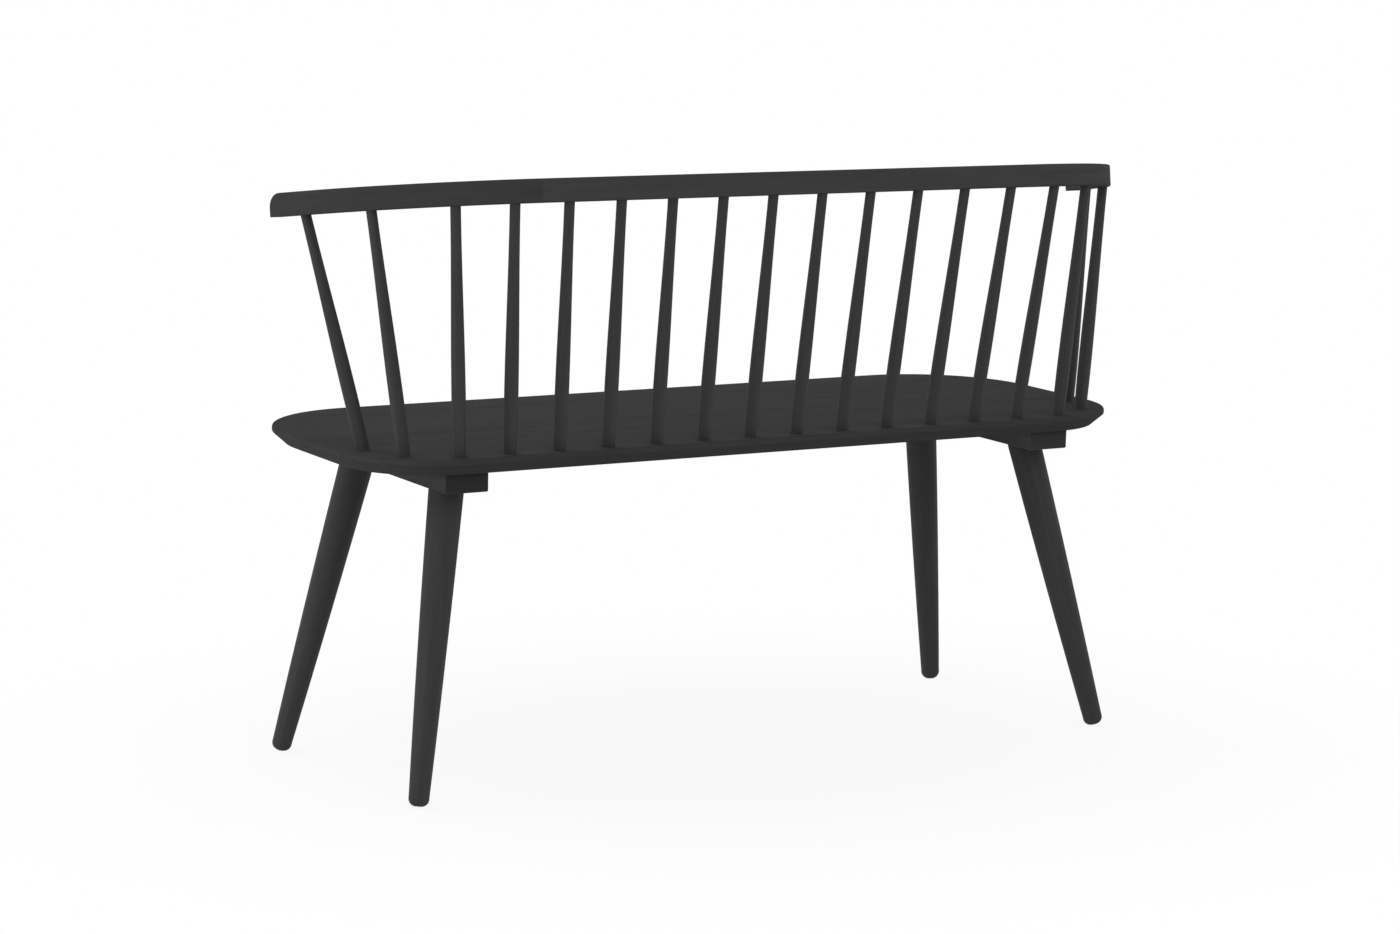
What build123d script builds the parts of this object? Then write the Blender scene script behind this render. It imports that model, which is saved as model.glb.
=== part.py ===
from build123d import *
import math
import os

# A dining bench with a spindle back that bends round into two short arms.
# Millimetres. X runs along the bench, +Y points to the back, +Z is up, and the bench
# stands on z = 0. Left is the sitter's left, which is +X.

# Seat plank
SEAT_LENGTH = 1174
SEAT_DEPTH = 444
SEAT_THICKNESS = 22
FRONT_CORNER = 163       # corner radii of the plank
BACK_CORNER = 130
SEAT_HEIGHT = 449        # top of the seat above the floor, in the middle of the plank
SEAT_TILT = 2.7          # degrees, back edge lower than the front edge
NOSE_HEIGHT = 7          # upright band round the edge, above the bevel
NOSE_ROUND = 3           # rounding of the top edge
BEVEL_INSET = 17         # how far the bevel under the edge runs in
BEVEL_ROUND = 2          # rounding where the nose turns into the bevel

# Row of spindles on the seat
SPINDLE_COUNT = 18
ROW_BACK_INSET = 22.5    # from the back edge of the seat to the row
ROW_SIDE_INSET = 39      # from the side edge of the seat to the end of the row
ROW_CORNER = 100         # radius of the row where it turns to the front
ROW_TURN = 90            # degrees of that turn
ROW_END_GAP = 2.5        # the last spindle stands this far before the end of the turn

# Spindles, turned
SPINDLE_FOOT = 16.6      # diameter at the seat
SPINDLE_BELLY = 18.2     # largest diameter
SPINDLE_HEAD = 13.4      # diameter at the rail
BELLY_AT = 0.2           # place of the belly, as a share of the visible length
SEAT_SOCKET = 15         # depth of the spindle in the seat
RAIL_SOCKET = 12         # depth of the spindle in the rail

# Top rail: a straight middle and two bent arms in one sloping plane
RAIL_RISE = 321          # underside of the rail above the seat, at the back
RAIL_LEAN = 45           # how far the rail stands behind the row, at its underside
RAIL_SLOPE = 8           # degrees, the rail drops to the front against the seat
RAIL_HEIGHT = 30
RAIL_THICKNESS = 23
RAIL_CORNER_INSET = 224  # the bends begin this far inside the seat's ends
RAIL_BEND = 245          # radius of the bends, to the middle of the rail
RAIL_ROUND = 2.5         # rounding of the long edges
JOINT_PAST_BEND = 15     # the rail is jointed this far past the start of a bend
ARM_TURN = 73.5          # degrees of bend in an arm
ARM_REACH = 81           # straight end of an arm, after the bend
ARM_END_GAP = 57         # from the arm's end to its first spindle, along the rail
ARM_PITCH = 108.5        # between the arm's spindles, along the rail
ARM_SPINDLES = 2         # spindles under each arm
ARM_NOSE = 18            # rounding of the top corner at the arm's end

# Dowels in the two joints of the rail
DOWEL_DIAMETER = 6
DOWEL_LENGTH = 36
DOWEL_SPACING = 10
DOWEL_DROP = 9           # from the top of the rail to the dowels

# Cross bearers under the seat
BEARER_WIDTH = 60
BEARER_THICKNESS = 26
BEARER_LENGTH = 374
BEARER_OFFSET = 9        # middle of the bearer behind the middle of the seat
BEARER_EDGE = 1.2        # chamfer along the edges
BEARER_INSET = 138.5     # from the seat's end to the middle of the bearer

# Screws that hold a bearer to the seat
SCREW_DIAMETER = 4.5
SCREW_HEAD = 9
SCREW_GRIP = 14          # depth of the screw in the seat
SCREW_END = 25           # from the bearer's end to its outer screw
SCREW_MIDDLE = 60        # from the middle of the bearer to its inner screw
DRIVE_SPAN = 4.4         # cross recess in the screw's head, from tip to tip
DRIVE_WIDTH = 1.1
DRIVE_DEPTH = 2

# Legs, turned, with their own splay at the front and at the back
LEG_TOP = 45.5
LEG_WAIST = 37.5         # diameter at the waist
WAIST_AT = 0.5           # place of the waist, as a share of the leg's length
LEG_FOOT = 26.6
FOOT_STRAIGHT = 14       # straight end of the leg, above the floor
LEG_HIP = 130            # from the middle of the bearer to the leg's axis, under the bearer
FOOT_ROUND = 10          # rounding of the foot's edge
FOOT_LEVEL = 0.5         # middle of the foot's end above the floor; what dips lower is cut level
BACK_SPREAD = 77.3       # from the hip out to the rear foot, along the bench
BACK_SPLAY = 67.4        # from the hip back to the rear foot
FRONT_SPREAD = 81        # from the hip out to the front foot, along the bench
FRONT_SPLAY = 88.4       # from the hip forward to the front foot

# Hanger bolts and threaded sleeves that hold the legs to the bearers
BOLT_DIAMETER = 8
BOLT_IN_LEG = 32
SLEEVE_DIAMETER = 12
SLEEVE_LENGTH = 16
SLEEVE_RECESS = 3        # the sleeve lies this far inside the bearer

FIT = 0.2                # clearance all round a dowel, tenon, screw or sleeve in its hole

# Two frames carry the build: the tilted seat and the sloping rail
row_y = SEAT_DEPTH / 2 - ROW_BACK_INSET
bearer_underside = SEAT_THICKNESS + BEARER_THICKNESS
seat_frame = Pos(0, 0, SEAT_HEIGHT) * Rot(-SEAT_TILT, 0, 0)
rail_frame = seat_frame * Pos(0, row_y + RAIL_LEAN, RAIL_RISE) * Rot(RAIL_SLOPE, 0, 0)

nodes = {}


def bow(run, straight, radius, turn):
    """Point on a bow: a straight back, a round turn of so many degrees, then a straight arm."""
    bend = min(max(abs(run) - straight, 0) / radius, math.radians(turn))
    rest = max(abs(run) - straight - radius * math.radians(turn), 0)
    x = min(abs(run), straight) + radius * math.sin(bend) + rest * math.cos(bend)
    y = radius * (math.cos(bend) - 1) - rest * math.sin(bend)
    return math.copysign(x, run), y


def turned(stations):
    """Solid turned about Z through (height, diameter) stations, with a smooth curve
    between the second station and the last but one, and straight ends."""
    points = [(diameter / 2, 0, height) for height, diameter in stations]
    bottom, top = points[0], points[-1]
    outline = [
        Line(bottom, points[1]),
        Spline(points[1:-1]),
        Line(points[-2], top),
        Polyline(top, (0, 0, top[2]), (0, 0, bottom[2]), bottom),
    ]
    return revolve(make_face(outline), Axis.Z)


def along(start, end):
    """Frame at start with Z towards end."""
    return Plane(origin=start, z_dir=end - start).location


def rod(diameter, length):
    """Cylinder that rises from its frame along Z."""
    return Cylinder(diameter / 2, length, align=(Align.CENTER, Align.CENTER, Align.MIN))


def hole(diameter, length):
    """Room for a rod with its clearance all round and at the far end."""
    return rod(diameter + 2 * FIT, length + FIT)


# Spindles: even spacing on the seat, even along the back of the rail, wider on the arms
row_corner_x = SEAT_LENGTH / 2 - ROW_SIDE_INSET - ROW_CORNER
row_half = row_corner_x + ROW_CORNER * math.radians(ROW_TURN) - ROW_END_GAP
rail_straight = SEAT_LENGTH / 2 - RAIL_CORNER_INSET
arm_bend = RAIL_BEND * math.radians(ARM_TURN)
first_on_arm = rail_straight + arm_bend + ARM_REACH - ARM_END_GAP
last_on_back = first_on_arm - ARM_SPINDLES * ARM_PITCH
back_gaps = SPINDLE_COUNT - 2 * ARM_SPINDLES - 1


def rail_run(index):
    """Place of a spindle's head along the rail, measured from the middle."""
    from_end = min(index, SPINDLE_COUNT - 1 - index)
    if from_end < ARM_SPINDLES:
        run = first_on_arm - from_end * ARM_PITCH
        return run if index == from_end else -run
    return last_on_back - (index - ARM_SPINDLES) * 2 * last_on_back / back_gaps


seat_sockets = []
rail_sockets = []
for index in range(SPINDLE_COUNT):
    row_run = row_half - index * 2 * row_half / (SPINDLE_COUNT - 1)
    foot_x, foot_y = bow(row_run, row_corner_x, ROW_CORNER, ROW_TURN)
    head_x, head_y = bow(rail_run(index), rail_straight, RAIL_BEND, ARM_TURN)
    foot = (seat_frame * Pos(foot_x, row_y + foot_y, 0)).position
    head = (rail_frame * Pos(head_x, head_y, 0)).position
    length = (head - foot).length
    stations = [
        (-SEAT_SOCKET, SPINDLE_FOOT),
        (0, SPINDLE_FOOT),
        (BELLY_AT * length, SPINDLE_BELLY),
        ((1 + BELLY_AT) / 2 * length, (SPINDLE_BELLY + SPINDLE_HEAD) / 2),
        (length, SPINDLE_HEAD),
        (length + RAIL_SOCKET, SPINDLE_HEAD),
    ]
    nodes[f"spindle_{index + 1:02d}"] = along(foot, head) * turned(stations)
    seat_sockets.append(along(foot, foot + foot - head) * hole(SPINDLE_FOOT, SEAT_SOCKET))
    seat_sockets.append(along(foot, head) * rod(SPINDLE_FOOT + 2 * FIT, SEAT_SOCKET))
    rail_sockets.append(along(head, head + head - foot) * hole(SPINDLE_HEAD, RAIL_SOCKET))
    rail_sockets.append(along(head, foot) * rod(SPINDLE_HEAD + 2 * FIT, RAIL_SOCKET))

# Top rail, drawn flat in its own plane
rail_middle = Box(2 * rail_straight, RAIL_THICKNESS, RAIL_HEIGHT,
                  align=(Align.CENTER, Align.CENTER, Align.MIN))
rail_middle = fillet(rail_middle.edges().filter_by(Axis.X), RAIL_ROUND)

section = Pos(rail_straight, 0, RAIL_HEIGHT / 2) * Rot(0, 90, 0) * Rectangle(RAIL_HEIGHT, RAIL_THICKNESS)
bend_axis = Axis((rail_straight, -RAIL_BEND, 0), (0, 0, -1))
arm = revolve(section, bend_axis, ARM_TURN)
arm += extrude(arm.faces().sort_by(Axis.Y)[0], ARM_REACH)
arm = fillet(arm.faces().sort_by(Axis.Y)[0].edges().sort_by(Axis.Z)[-1], ARM_NOSE)
long_edges = [edge for edge in arm.edges() if edge.length > max(RAIL_HEIGHT, RAIL_THICKNESS)]
arm = fillet(long_edges, RAIL_ROUND)

# The middle piece keeps the first few millimetres of each bend, up to the joint
joint_x = rail_straight + JOINT_PAST_BEND
joint_plane = Plane.YZ.offset(joint_x)
bent_end = split(arm, bisect_by=joint_plane, keep=Keep.BOTTOM)
arm = split(arm, bisect_by=joint_plane, keep=Keep.TOP)
rail_middle += [bent_end, mirror(bent_end, Plane.YZ)]

dowel_height = RAIL_HEIGHT - DOWEL_DROP
dowels = []
dowel_holes = []
for side in (1, -1):
    for offset in (-DOWEL_SPACING / 2, DOWEL_SPACING / 2):
        place = Pos(side * joint_x, offset, dowel_height) * Rot(0, 90, 0)
        dowels.append(place * Cylinder(DOWEL_DIAMETER / 2, DOWEL_LENGTH))
        dowel_holes.append(place * Cylinder(DOWEL_DIAMETER / 2 + FIT, DOWEL_LENGTH + 2 * FIT))

nodes["rail_middle"] = rail_frame * (rail_middle - dowel_holes) - rail_sockets
nodes["rail_arm_left"] = rail_frame * (arm - dowel_holes) - rail_sockets
nodes["rail_arm_right"] = rail_frame * (mirror(arm, Plane.YZ) - dowel_holes) - rail_sockets
nodes["rail_dowels"] = rail_frame * Compound(dowels)

# Legs with their bolts and sleeves; each leg's top is cut to lie flat under its bearer
bearer_x = SEAT_LENGTH / 2 - BEARER_INSET
bearer_plane = Plane(seat_frame * Pos(0, 0, -bearer_underside))
bolts = []
sleeves = []
bearer_holes = []
for side_name, side in (("left", 1), ("right", -1)):
    for end_name, end, spread, splay in (
        ("back", 1, BACK_SPREAD, BACK_SPLAY),
        ("front", -1, FRONT_SPREAD, FRONT_SPLAY),
    ):
        hip_y = BEARER_OFFSET + end * LEG_HIP
        hip = (seat_frame * Pos(side * bearer_x, hip_y, -bearer_underside)).position
        foot = Vector(hip.X + side * spread, hip.Y + end * splay, FOOT_LEVEL)
        length = (hip - foot).length
        stations = [
            (0, LEG_FOOT),
            (FOOT_STRAIGHT, LEG_FOOT),
            (WAIST_AT * length, LEG_WAIST),
            (length, LEG_TOP),
            (length + LEG_TOP, LEG_TOP),
        ]
        leg = turned(stations)
        leg = fillet(leg.edges().sort_by(Axis.Z)[0], FOOT_ROUND)
        leg = split(along(foot, hip) * leg, bisect_by=bearer_plane, keep=Keep.BOTTOM)
        leg = split(leg, bisect_by=Plane.XY, keep=Keep.TOP)
        down = along(hip, foot)
        up = along(hip, hip + hip - foot)
        bolt_up = SLEEVE_RECESS + SLEEVE_LENGTH
        leg -= down * hole(BOLT_DIAMETER, BOLT_IN_LEG)
        leg -= up * rod(BOLT_DIAMETER + 2 * FIT, bolt_up)
        nodes[f"leg_{end_name}_{side_name}"] = leg
        bolts.append(down * rod(BOLT_DIAMETER, BOLT_IN_LEG) + up * rod(BOLT_DIAMETER, bolt_up))
        sleeve = rod(SLEEVE_DIAMETER, SLEEVE_LENGTH) - rod(BOLT_DIAMETER + 2 * FIT, SLEEVE_LENGTH)
        sleeves.append(up * Pos(0, 0, SLEEVE_RECESS) * sleeve)
        bearer_holes.append(up * hole(SLEEVE_DIAMETER, bolt_up))
        bearer_holes.append(down * rod(SLEEVE_DIAMETER + 2 * FIT, SLEEVE_LENGTH))
nodes["leg_bolts"] = Compound(bolts)
nodes["leg_sleeves"] = Compound(sleeves)

# Bearers and the countersunk screws that go up through them into the seat
screw_length = BEARER_THICKNESS + SCREW_GRIP
head_height = (SCREW_HEAD - SCREW_DIAMETER) / 2
screw = rod(SCREW_DIAMETER, screw_length)
screw += Cone(SCREW_HEAD / 2, SCREW_DIAMETER / 2, head_height,
              align=(Align.CENTER, Align.CENTER, Align.MIN))
for turn in (0, 90):
    screw -= Rot(0, 0, turn) * Box(DRIVE_SPAN, DRIVE_WIDTH, DRIVE_DEPTH,
                                   align=(Align.CENTER, Align.CENTER, Align.MIN))
screw_hole = hole(SCREW_DIAMETER, screw_length)
screw_hole += Cone(SCREW_HEAD / 2 + FIT, SCREW_DIAMETER / 2 + FIT, head_height,
                   align=(Align.CENTER, Align.CENTER, Align.MIN))
screws = []
screw_holes = []
for side in (1, -1):
    for along_bearer in (BEARER_LENGTH / 2 - SCREW_END, SCREW_MIDDLE):
        for end in (1, -1):
            screw_y = BEARER_OFFSET + end * along_bearer
            place = seat_frame * Pos(side * bearer_x, screw_y, -bearer_underside)
            screws.append(place * screw)
            screw_holes.append(place * screw_hole)
nodes["bearer_screws"] = Compound(screws)

bearer = Box(BEARER_WIDTH, BEARER_LENGTH, BEARER_THICKNESS,
             align=(Align.CENTER, Align.CENTER, Align.MIN))
bearer = chamfer(bearer.faces().sort_by(Axis.Z)[0].edges(), BEARER_EDGE)
for side_name, side in (("left", 1), ("right", -1)):
    place = seat_frame * Pos(side * bearer_x, BEARER_OFFSET, -bearer_underside)
    nodes[f"cross_bearer_{side_name}"] = place * bearer - bearer_holes - screw_holes

# Seat plank: an upright nose, then a bevel that makes the edge look thin


def plank_outline(inset):
    """Outline of the plank, drawn in by an inset all round."""
    plan = Rectangle(SEAT_LENGTH - 2 * inset, SEAT_DEPTH - 2 * inset)
    plan = fillet(plan.vertices().group_by(Axis.Y)[0], FRONT_CORNER - inset)
    return fillet(plan.vertices().group_by(Axis.Y)[-1], BACK_CORNER - inset)


outline = plank_outline(0)
underside = plank_outline(BEVEL_INSET)
seat = extrude(outline, -NOSE_HEIGHT)
seat += loft([Pos(0, 0, -NOSE_HEIGHT) * outline, Pos(0, 0, -SEAT_THICKNESS) * underside], ruled=True)
bevel_edges = seat.edges().filter_by(lambda edge: abs(edge.center().Z + NOSE_HEIGHT) < FIT)
seat = fillet(bevel_edges, BEVEL_ROUND)
seat = fillet(seat.faces().sort_by(Axis.Z)[-1].edges(), NOSE_ROUND)
nodes["seat_plank"] = seat_frame * seat - seat_sockets - screw_holes

# The bench is centred on its own box, front to back, and each piece is written out
box = Compound(list(nodes.values())).bounding_box()
centred = Pos(0, -box.center().Y, 0)
os.makedirs("parts", exist_ok=True)
for name, piece in nodes.items():
    export_step(centred * piece, f"parts/{name}.step")
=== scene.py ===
import math

import bpy
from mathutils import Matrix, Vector


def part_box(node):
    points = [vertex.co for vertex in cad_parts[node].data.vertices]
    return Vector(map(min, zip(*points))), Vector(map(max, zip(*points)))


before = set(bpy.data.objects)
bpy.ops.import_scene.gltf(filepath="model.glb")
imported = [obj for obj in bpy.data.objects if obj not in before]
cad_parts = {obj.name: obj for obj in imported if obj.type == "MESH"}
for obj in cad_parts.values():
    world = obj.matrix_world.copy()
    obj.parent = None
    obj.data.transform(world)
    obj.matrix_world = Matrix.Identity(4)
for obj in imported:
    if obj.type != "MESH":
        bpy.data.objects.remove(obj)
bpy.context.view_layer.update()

# Seat plank: one wide beech panel, cut to shape, bevelled underneath, sanded and sprayed with
# a thin matte black paint that lets the grain show as fine streaks along the bench.
SEAT_TILT = math.radians(2.7)
GRAIN_LENGTHENED = (0.045, 1, 1)    # scale of the grain's pattern, along and across the piece
FLAT_GLOSS = 0.02                   # specular level of the paint on flat faces


def grey(tone):
    """Colour of a neutral tone."""
    return (tone, tone, tone, 1)


def calc(tree, operation, *terms):
    """Result of a Math node; each term is a socket to link or a number to set."""
    node = tree.nodes.new("ShaderNodeMath")
    node.operation = operation
    for socket, term in zip(node.inputs, terms):
        if isinstance(term, bpy.types.NodeSocket):
            tree.links.new(term, socket)
        else:
            socket.default_value = term
    return node.outputs[0]


def spread(tree, value, source, target):
    """Result of a Map Range node that takes the source limits to the target limits."""
    node = tree.nodes.new("ShaderNodeMapRange")
    for name, limit in zip(("From Min", "From Max", "To Min", "To Max"), (*source, *target)):
        node.inputs[name].default_value = limit
    tree.links.new(value, node.inputs["Value"])
    return node.outputs["Result"]


def painted_grain_group():
    """Shader group for wood grain under thin paint; its vector runs along the grain in X."""
    group = bpy.data.node_groups.new("painted_grain", "ShaderNodeTree")
    for name, side, kind in (("Vector", "INPUT", "NodeSocketVector"),
                             ("Dark", "INPUT", "NodeSocketColor"),
                             ("Pale", "INPUT", "NodeSocketColor"),
                             ("Color", "OUTPUT", "NodeSocketColor"),
                             ("Roughness", "OUTPUT", "NodeSocketFloat"),
                             ("Height", "OUTPUT", "NodeSocketFloat")):
        group.interface.new_socket(name, in_out=side, socket_type=kind)
    link = group.links.new
    given = group.nodes.new("NodeGroupInput")
    result = group.nodes.new("NodeGroupOutput")

    def noise(scale, detail, rough, low, high):
        """Noise on the group's vector, with its values between low and high spread out."""
        texture = group.nodes.new("ShaderNodeTexNoise")
        texture.inputs["Scale"].default_value = scale
        texture.inputs["Detail"].default_value = detail
        texture.inputs["Roughness"].default_value = rough
        link(given.outputs["Vector"], texture.inputs["Vector"])
        return spread(group, texture.outputs["Fac"], (low, high), (0, 1))

    # Broad figure of the wood, fine fibres, and the short open pores of beech
    figure = noise(scale=22, detail=3, rough=0.5, low=0.32, high=0.68)
    fibre = noise(scale=150, detail=5, rough=0.65, low=0.32, high=0.68)
    pore = noise(scale=620, detail=2, rough=0.5, low=0.58, high=0.72)
    streak = calc(group, "MULTIPLY_ADD", fibre, 0.6, calc(group, "MULTIPLY", figure, 0.4))
    paint = calc(group, "MULTIPLY_ADD", pore, -0.35, streak)

    tone = group.nodes.new("ShaderNodeMix")
    tone.data_type = "RGBA"
    link(paint, tone.inputs["Factor"])
    link(given.outputs["Dark"], tone.inputs["A"])
    link(given.outputs["Pale"], tone.inputs["B"])
    link(tone.outputs["Result"], result.inputs["Color"])
    link(spread(group, paint, (0, 1), (0.88, 0.76)), result.inputs["Roughness"])
    link(calc(group, "MULTIPLY_ADD", pore, -0.7, fibre), result.inputs["Height"])
    return group


painted_grain = painted_grain_group()


def new_material(name):
    """Material with nodes, its node tree and its main shader."""
    material = bpy.data.materials.new(name)
    material.use_nodes = True
    return material, material.node_tree, material.node_tree.nodes["Principled BSDF"]


def painted_wood(name, dark, pale, origin=(0, 0, 0), turn=(0, 0, 0), gloss=FLAT_GLOSS, bend=None):
    """Matte paint that runs from a dark to a pale grey along the grain. The grain lies along X
    of a frame with that origin and turn, and on a bent piece bend carries it round."""
    material, tree, shader = new_material(name)
    add = tree.nodes.new
    link = tree.links.new
    place = add("ShaderNodeTexCoord")
    lay = add("ShaderNodeMapping")
    lay.vector_type = "TEXTURE"
    lay.inputs["Location"].default_value = origin
    lay.inputs["Rotation"].default_value = turn
    link(place.outputs["Object"], lay.inputs["Vector"])
    along = lay.outputs["Vector"]
    if bend:
        along = bend(tree, along)
    lengthen = add("ShaderNodeVectorMath")
    lengthen.operation = "MULTIPLY"
    lengthen.inputs[1].default_value = GRAIN_LENGTHENED
    grain = add("ShaderNodeGroup")
    grain.node_tree = painted_grain
    grain.inputs["Dark"].default_value = grey(dark)
    grain.inputs["Pale"].default_value = grey(pale)
    relief = add("ShaderNodeBump")
    relief.inputs["Strength"].default_value = 0.25
    relief.inputs["Distance"].default_value = 0.0003
    link(along, lengthen.inputs[0])
    link(lengthen.outputs["Vector"], grain.inputs["Vector"])
    link(grain.outputs["Color"], shader.inputs["Base Color"])
    link(grain.outputs["Roughness"], shader.inputs["Roughness"])
    link(grain.outputs["Height"], relief.inputs["Height"])
    link(relief.outputs["Normal"], shader.inputs["Normal"])
    shader.inputs["Specular IOR Level"].default_value = gloss
    return material


def finish(node, material):
    """Puts a finish on every material slot of a CAD node."""
    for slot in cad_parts[node].material_slots:
        slot.material = material


finish("seat_plank", painted_wood("seat_paint", dark=0.0316, pale=0.0415, turn=(-SEAT_TILT, 0, 0)))

# Cross bearers: two flat beech battens under the seat, one over each pair of legs. Their grain
# runs from front to back, and four countersunk screws hold each one up into the seat. Their front
# and back faces are darker, partly because sawn end grain soaks up paint and partly as painted shade
# from the seat above.


def shade_and_soak_ends(material, tone):
    """Darkens the faces of a bearer that look to the front and to the back, partly for end grain
    that soaks up paint and partly as painted shade under the seat.
    """
    tree = material.node_tree
    link = tree.links.new
    coat = tree.nodes["Principled BSDF"].inputs["Base Color"]
    long_grain = coat.links[0].from_socket
    place = tree.nodes.new("ShaderNodeTexCoord")
    facing = tree.nodes.new("ShaderNodeSeparateXYZ")
    link(place.outputs["Normal"], facing.inputs["Vector"])
    endwise = calc(tree, "ABSOLUTE", facing.outputs["Y"])
    soaked_and_shaded = tree.nodes.new("ShaderNodeMix")
    soaked_and_shaded.data_type = "RGBA"
    soaked_and_shaded.inputs["B"].default_value = grey(tone)
    # Painted shade: faces that look to the front or back are mixed towards the darker tone, partly
    # for end grain and partly for the seat's shade above them.
    link(spread(tree, endwise, (0.7, 0.95), (0, 1)), soaked_and_shaded.inputs["Factor"])
    link(long_grain, soaked_and_shaded.inputs["A"])
    link(soaked_and_shaded.outputs["Result"], coat)


# The right bearer is painted paler than the left, and its ends less dark: painted light for the
# light that reaches it under the seat.
for side, dark, pale, end_grain_and_shade_tone in (("left", 0.0355, 0.047, 0.026),
                                   ("right", 0.048, 0.062, 0.034)):
    bearer = "cross_bearer_" + side
    bearer_paint = painted_wood("bearer_paint_" + side, dark, pale, origin=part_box(bearer)[0],
                                turn=(-SEAT_TILT, 0, math.radians(90)))
    shade_and_soak_ends(bearer_paint, end_grain_and_shade_tone)
    finish(bearer, bearer_paint)

# Screws: eight countersunk steel screws with a cross recess, four in each bearer. They are
# driven up into the seat from below, and their zinc plate is left bare.
zinc, zinc_tree, zinc_shader = new_material("zinc_plate")
zinc_place = zinc_tree.nodes.new("ShaderNodeTexCoord")
spangle = zinc_tree.nodes.new("ShaderNodeTexNoise")
spangle.inputs["Scale"].default_value = 420
spangle.inputs["Detail"].default_value = 4
plate = zinc_tree.nodes.new("ShaderNodeValToRGB")
plate.color_ramp.elements[0].color = (0.44, 0.44, 0.46, 1)
plate.color_ramp.elements[1].color = (0.62, 0.62, 0.65, 1)
zinc_tree.links.new(zinc_place.outputs["Object"], spangle.inputs["Vector"])
zinc_tree.links.new(spangle.outputs["Fac"], plate.inputs["Fac"])
zinc_tree.links.new(plate.outputs["Color"], zinc_shader.inputs["Base Color"])
zinc_tree.links.new(spread(zinc_tree, spangle.outputs["Fac"], (0, 1), (0.48, 0.28)),
                    zinc_shader.inputs["Roughness"])
zinc_shader.inputs["Metallic"].default_value = 1
finish("bearer_screws", zinc)

# Leg sleeves and bolts: zinc-plated steel. A threaded sleeve is set into the bearer over each
# leg, and the hanger bolt in the top of the leg screws up into it.
finish("leg_sleeves", zinc)
finish("leg_bolts", zinc)

# Legs: four beech legs, turned to a taper and splayed both ways, with rounded feet. Each is
# cut flat on top, where it is drawn up against its bearer, and painted.
TURNED_GLOSS = 0.35     # specular level of the paint on turned pieces, smoother than on flat ones
END_SLICE = 0.004       # how much of each end of a turned piece shows where its axis is, in metres


def turned_paint(node, dark, pale):
    """Painted wood with its grain along a turned piece, between the middles of its two ends."""
    middles = []
    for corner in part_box(node):
        ring = [vertex.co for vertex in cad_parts[node].data.vertices
                if abs(vertex.co.z - corner.z) < END_SLICE]
        middles.append(sum(ring, Vector()) / len(ring))
    foot, head = middles
    turn = (head - foot).to_track_quat("X", "Z").to_euler()
    return painted_wood("paint_" + node, dark, pale, foot, turn, gloss=TURNED_GLOSS)


for end in ("back", "front"):
    for side in ("left", "right"):
        leg = "leg_%s_%s" % (end, side)
        finish(leg, turned_paint(leg, dark=0.0185, pale=0.0255))

# Spindles: eighteen beech rods, turned with a slight belly low down, glued into the seat and
# into the underside of the rail. Each is cut from its own stick, so no two match in grain.
for count in range(18):
    spindle = "spindle_%02d" % (count + 1)
    finish(spindle, turned_paint(spindle, dark=0.0189, pale=0.0279))

# Top rail: a straight middle and two bent arms, dowelled end to end and painted together. The
# left arm came out a little darker than the middle, which shows its joint.
RAIL_TILT = math.radians(5.3)
BEND_RADIUS = 0.245
BEND_MIDDLE = (0.363, -0.0085, 0.7355)      # middle of the left arm's bend; the right one mirrors it


def round_the_bend(tree, vector):
    """Straightens a vector that goes round Z, so that its X runs along the bend."""
    parts = tree.nodes.new("ShaderNodeSeparateXYZ")
    tree.links.new(vector, parts.inputs["Vector"])
    x, y, z = parts.outputs
    straight = tree.nodes.new("ShaderNodeCombineXYZ")
    length = calc(tree, "MULTIPLY", calc(tree, "ARCTAN2", x, y), BEND_RADIUS)
    reach = calc(tree, "SQRT", calc(tree, "MULTIPLY_ADD", x, x, calc(tree, "MULTIPLY", y, y)))
    for value, socket in zip((length, reach, z), straight.inputs):
        tree.links.new(value, socket)
    return straight.outputs["Vector"]


finish("rail_middle", painted_wood("rail_paint", dark=0.0387, pale=0.05, turn=(RAIL_TILT, 0, 0)))
for side, sign, dark, pale in (("left", 1, 0.0333, 0.0434), ("right", -1, 0.04, 0.0525)):
    bend_middle = (sign * BEND_MIDDLE[0], *BEND_MIDDLE[1:])
    finish("rail_arm_" + side, painted_wood("arm_paint_" + side, dark, pale, bend_middle,
                                            turn=(RAIL_TILT, 0, 0), bend=round_the_bend))

# Dowels: bare beech pins, two across each of the rail's two joints. They are glued into both
# pieces and aren't seen once the rail is together.
beech, beech_tree, beech_shader = new_material("bare_beech")
beech_place = beech_tree.nodes.new("ShaderNodeTexCoord")
flecks = beech_tree.nodes.new("ShaderNodeTexNoise")
flecks.inputs["Scale"].default_value = 260
flecks.inputs["Detail"].default_value = 4
timber = beech_tree.nodes.new("ShaderNodeValToRGB")
timber.color_ramp.elements[0].color = (0.42, 0.28, 0.17, 1)
timber.color_ramp.elements[1].color = (0.60, 0.43, 0.28, 1)
beech_tree.links.new(beech_place.outputs["Object"], flecks.inputs["Vector"])
beech_tree.links.new(flecks.outputs["Fac"], timber.inputs["Fac"])
beech_tree.links.new(timber.outputs["Color"], beech_shader.inputs["Base Color"])
beech_shader.inputs["Roughness"].default_value = 0.65
finish("rail_dowels", beech)

# Floor: a plain pale sheet. To the camera it fades to white away from the bench, and close to
# the bench it keeps the soft shadow. From below it is clear, so the underside can be seen.
FLOOR_SIZE = 60
FLOOR_DROP = 0.0005         # the sheet lies this far under the feet
WHITE_SHARE = (0.85, 1)     # how white the camera sees it, under the bench and away from it
FADE = (0.35, 1.1)          # distances from the bench's middle between which it fades


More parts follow.
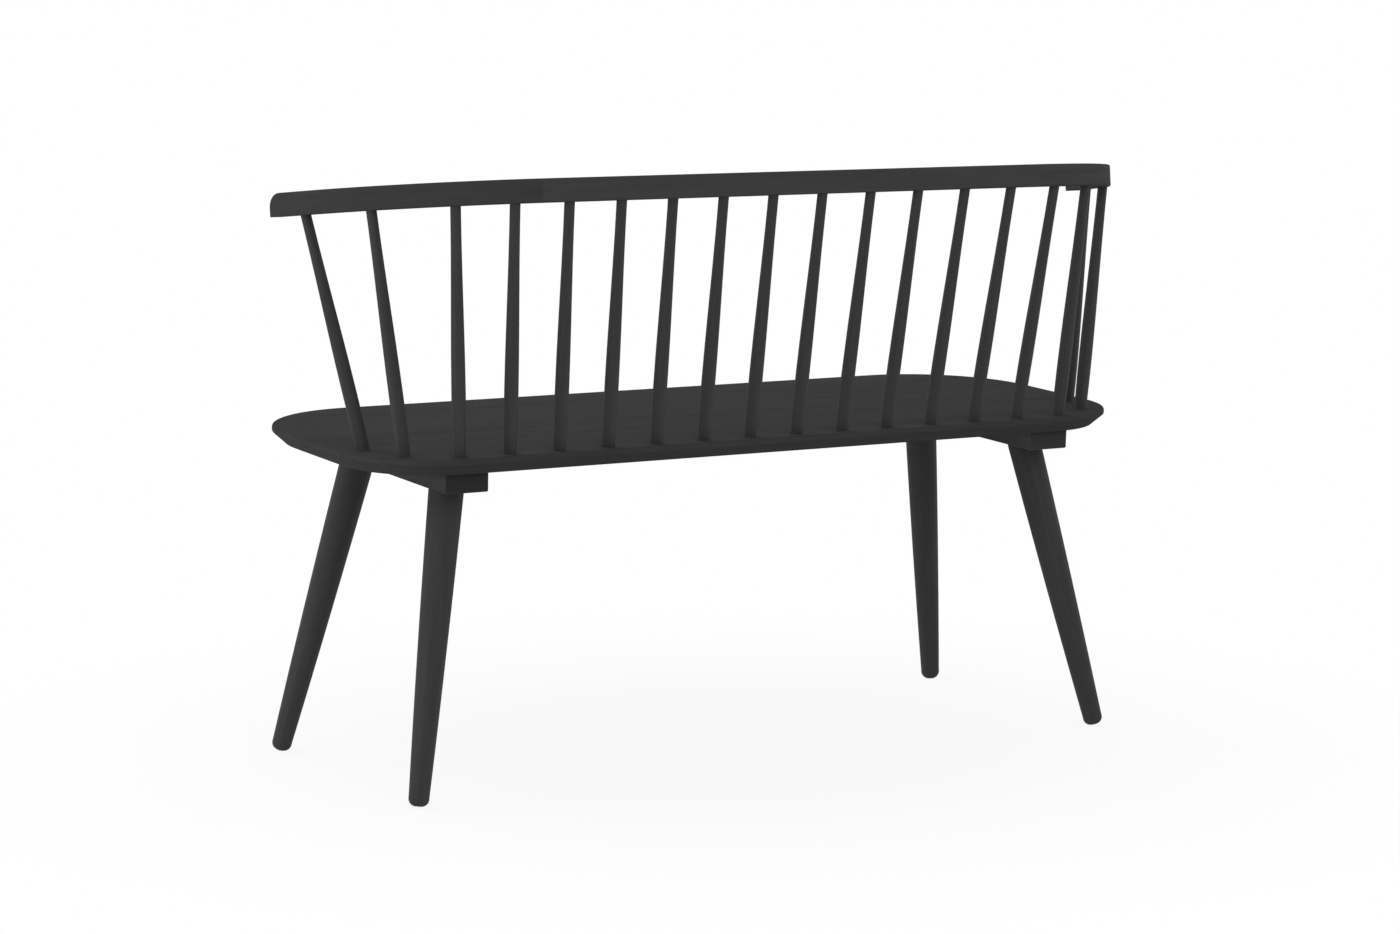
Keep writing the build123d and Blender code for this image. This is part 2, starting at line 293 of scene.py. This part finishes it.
def plainly_seen(tree):
    """1 for a ray from the camera, also by way of a reflection or glass, and 0 for the light."""
    path = tree.nodes.new("ShaderNodeLightPath")
    straight_or_mirrored = calc(tree, "MAXIMUM", path.outputs["Is Camera Ray"],
                                path.outputs["Is Glossy Ray"])
    return calc(tree, "MAXIMUM", straight_or_mirrored, path.outputs["Is Transmission Ray"])


bpy.ops.object.select_all(action="DESELECT")
bpy.ops.mesh.primitive_plane_add(size=FLOOR_SIZE, location=(0, 0, -FLOOR_DROP))
floor = bpy.context.object
floor.name = "floor"
sheet, sheet_tree, sheet_shader = new_material("pale_sheet")
sheet_shader.inputs["Base Color"].default_value = grey(0.8)
sheet_shader.inputs["Roughness"].default_value = 0.9
sheet_shader.inputs["Specular IOR Level"].default_value = 0.1
white = sheet_tree.nodes.new("ShaderNodeEmission")
white.inputs["Color"].default_value = grey(1)
white.inputs["Strength"].default_value = 1
sheet_place = sheet_tree.nodes.new("ShaderNodeTexCoord")
away = sheet_tree.nodes.new("ShaderNodeVectorMath")
away.operation = "LENGTH"
shown = sheet_tree.nodes.new("ShaderNodeMixShader")
under = sheet_tree.nodes.new("ShaderNodeNewGeometry")
clear = sheet_tree.nodes.new("ShaderNodeBsdfTransparent")
one_way = sheet_tree.nodes.new("ShaderNodeMixShader")
sheet_tree.links.new(sheet_place.outputs["Object"], away.inputs[0])
whiteness = spread(sheet_tree, away.outputs["Value"], FADE, WHITE_SHARE)
sheet_tree.links.new(calc(sheet_tree, "MULTIPLY", plainly_seen(sheet_tree), whiteness),
                     shown.inputs["Fac"])
sheet_tree.links.new(sheet_shader.outputs["BSDF"], shown.inputs[1])
sheet_tree.links.new(white.outputs["Emission"], shown.inputs[2])
sheet_tree.links.new(under.outputs["Backfacing"], one_way.inputs["Fac"])
sheet_tree.links.new(shown.outputs["Shader"], one_way.inputs[1])
sheet_tree.links.new(clear.outputs["BSDF"], one_way.inputs[2])
sheet_tree.links.new(one_way.outputs["Shader"],
                     sheet_tree.nodes["Material Output"].inputs["Surface"])
floor.data.materials.append(sheet)

# Light: an even white room, a soft lamp low on the sitter's left with a weaker one across from
# it, and two high ones, behind the bench and in front of it.
ROOM_LEVEL = (0.67, 1)      # how bright the room is as light, and how bright it is to the camera
BENCH_MIDDLE = Vector((0, 0, 0.4))
room = bpy.data.worlds.new("room")
bpy.context.scene.world = room
room.use_nodes = True
background = room.node_tree.nodes["Background"]
background.inputs["Color"].default_value = grey(1)
room.node_tree.links.new(spread(room.node_tree, plainly_seen(room.node_tree), (0, 1), ROOM_LEVEL),
                         background.inputs["Strength"])


def softbox(name, place, width, height, power):
    """Soft lamp that faces the middle of the bench."""
    bpy.ops.object.light_add(type="AREA", location=place)
    lamp = bpy.context.object
    lamp.name = name
    lamp.data.shape = "RECTANGLE"
    lamp.data.size = width
    lamp.data.size_y = height
    lamp.data.energy = power
    lamp.rotation_euler = (BENCH_MIDDLE - lamp.location).to_track_quat("-Z", "Y").to_euler()


softbox("side_lamp", place=(3.9, 0.1, 0.6), width=2.6, height=0.9, power=48)
softbox("fill_lamp", place=(-3.8, 0.8, 0.7), width=2.6, height=1, power=16)
softbox("back_lamp", place=(0.5, 3.8, 3), width=3, height=3, power=49)
softbox("front_lamp", place=(1.7, -3.5, 3), width=3, height=3, power=62)

# Camera: behind the bench and to its left, well above the seat, with a long lens. The small
# shift sets the bench where the photograph has it.
bpy.ops.object.camera_add(location=(2.54517, 4.31744, 1.01854),
                          rotation=(math.radians(82.7034), 0, math.radians(149.5435)))
camera = bpy.context.object
camera.name = "camera"
camera.data.sensor_width = 36
camera.data.lens = 95.658
camera.data.shift_x = -0.00103
camera.data.shift_y = 0.00036
bpy.context.scene.camera = camera
bpy.context.scene.view_settings.view_transform = "Standard"
